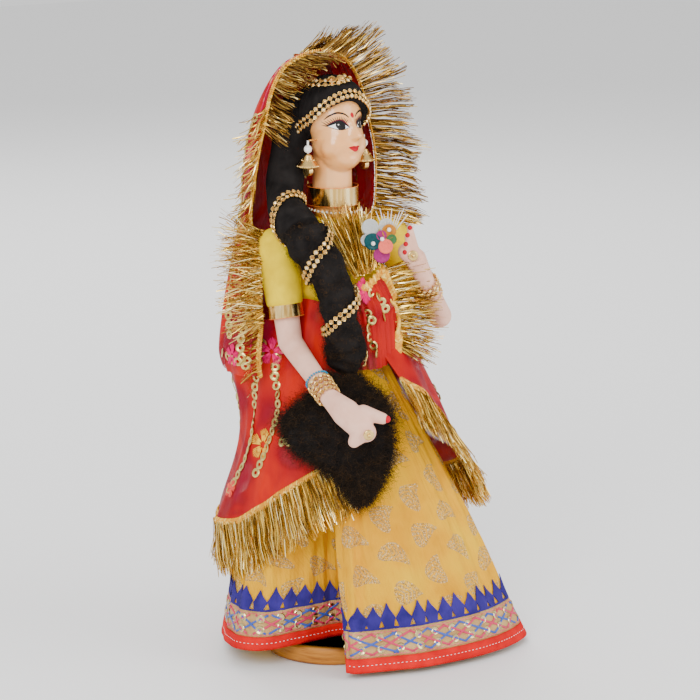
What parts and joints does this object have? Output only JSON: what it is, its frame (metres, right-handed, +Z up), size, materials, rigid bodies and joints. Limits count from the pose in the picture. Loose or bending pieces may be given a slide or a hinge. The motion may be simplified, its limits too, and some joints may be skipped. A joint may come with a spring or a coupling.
{
  "type": "costume doll",
  "caption": "Standing Rajasthani costume doll on a round wooden foot, with turning head, swinging earrings and bendable wire arms.",
  "frame": {"origin": "centre of the round foot's underside", "axes": "+Z up, the doll faces -Y, its right side is -X"},
  "size_m": [0.177, 0.1606, 0.384],
  "materials": {
    "turned_wood": "satin",
    "rag_core": "matt",
    "skirt_cotton": "crinkled cotton with glitter print",
    "red_binding": "satin weave",
    "mirror_lace": "embroidered lace",
    "blue_applique": "matt",
    "yellow_felt": "felted",
    "waist_tape": "woven tape",
    "iron_wire": "drawn wire",
    "gold_ribbon": "metallic ribbon",
    "stone_chain": "bright",
    "gold_tinsel": "metallised film",
    "red_organza": "sheer",
    "gold_braid": "braided thread",
    "pink_thread": "embroidery thread",
    "black_wool": "felted wool",
    "painted_face": "varnished paint",
    "pearl": "pearl",
    "gilt_metal": "gilt",
    "pink_cloth": "fine cotton",
    "paillette": "glossy sequin"
  },
  "bodies": {
    "stand": {"foot": "turned_wood", "dowel": "turned_wood", "skirt_core": "rag_core", "skirt": "skirt_cotton", "hem_binding": "red_binding", "mirror_lace": "mirror_lace", "zigzag_band": "blue_applique", "torso": "rag_core", "blouse": "yellow_felt", "waistband": "waist_tape", "shoulder_wire": "iron_wire", "collar_band": "gold_ribbon", "necklace": "stone_chain", "bib_fringe": "gold_tinsel", "sash": "red_organza", "sash_braid": "gold_braid", "sash_flower": "pink_thread", "sash_fringe": "gold_tinsel", "veil_back": "red_organza", "veil_hips": "red_organza", "veil_hem_braid": "gold_braid", "hem_fringe_right": "gold_tinsel", "hem_fringe_left": "gold_tinsel", "plait": "black_wool", "plait_tuft": "black_wool", "plait_chain": "stone_chain"},
    "head": {"neck": "painted_face", "head": "painted_face", "hair_cap": "black_wool", "hair_back": "black_wool", "forehead_chain": "stone_chain", "crown_chain": "stone_chain", "veil_hood": "red_organza", "hood_fringe": "gold_tinsel", "ear_hooks": "gilt_metal"},
    "right_earring": {"right_ear_pearl": "pearl", "right_ear_bell": "gilt_metal", "right_ear_drum": "gilt_metal"},
    "left_earring": {"left_ear_pearl": "pearl", "left_ear_bell": "gilt_metal", "left_ear_drum": "gilt_metal"},
    "right_arm": {"right_arm_wire": "iron_wire", "right_upper_arm": "pink_cloth", "right_sleeve": "yellow_felt", "right_armband": "gold_ribbon"},
    "right_forearm": {"right_forearm": "pink_cloth", "right_hand": "pink_cloth", "right_bracelets": "stone_chain", "right_ring": "gilt_metal"},
    "left_arm": {"left_arm_wire": "iron_wire", "left_upper_arm": "pink_cloth", "left_sleeve": "yellow_felt", "left_armband": "gold_ribbon"},
    "left_forearm": {"left_forearm": "pink_cloth", "left_hand": "pink_cloth", "left_bracelets": "stone_chain", "left_ring": "gilt_metal", "bouquet_discs": "paillette", "bouquet_stem": "gilt_metal"}
  },
  "joints": [
    {"name": "head_turn", "type": "hinge", "parent": "stand", "child": "head", "pos_m": [0, 0, 0.28], "axis": [0, 0, 1], "range_deg": [-10, 10]},
    {"name": "right_earring_swing", "type": "hinge", "parent": "head", "child": "right_earring", "pos_m": [-0.0215, -0.0035, 0.313], "axis": [1, 0, 0], "range_deg": [-12, 12]},
    {"name": "left_earring_swing", "type": "hinge", "parent": "head", "child": "left_earring", "pos_m": [0.0215, -0.0035, 0.313], "axis": [1, 0, 0], "range_deg": [-12, 12]},
    {"name": "right_shoulder", "type": "hinge", "parent": "stand", "child": "right_arm", "pos_m": [-0.0425, 0, 0.252], "axis": [-1, 0, 0], "range_deg": [0, 12]},
    {"name": "right_elbow", "type": "hinge", "parent": "right_arm", "child": "right_forearm", "pos_m": [-0.0415, -0.011, 0.197], "axis": [-1, 0, 0], "range_deg": [0, 15]},
    {"name": "left_shoulder", "type": "hinge", "parent": "stand", "child": "left_arm", "pos_m": [0.0425, 0, 0.252], "axis": [-1, 0, 0], "range_deg": [-5, 12]},
    {"name": "left_elbow", "type": "hinge", "parent": "left_arm", "child": "left_forearm", "pos_m": [0.061, -0.028, 0.202], "axis": [-0.7644, 0.3992, -0.5063], "range_deg": [-12, 6]}
  ]
}
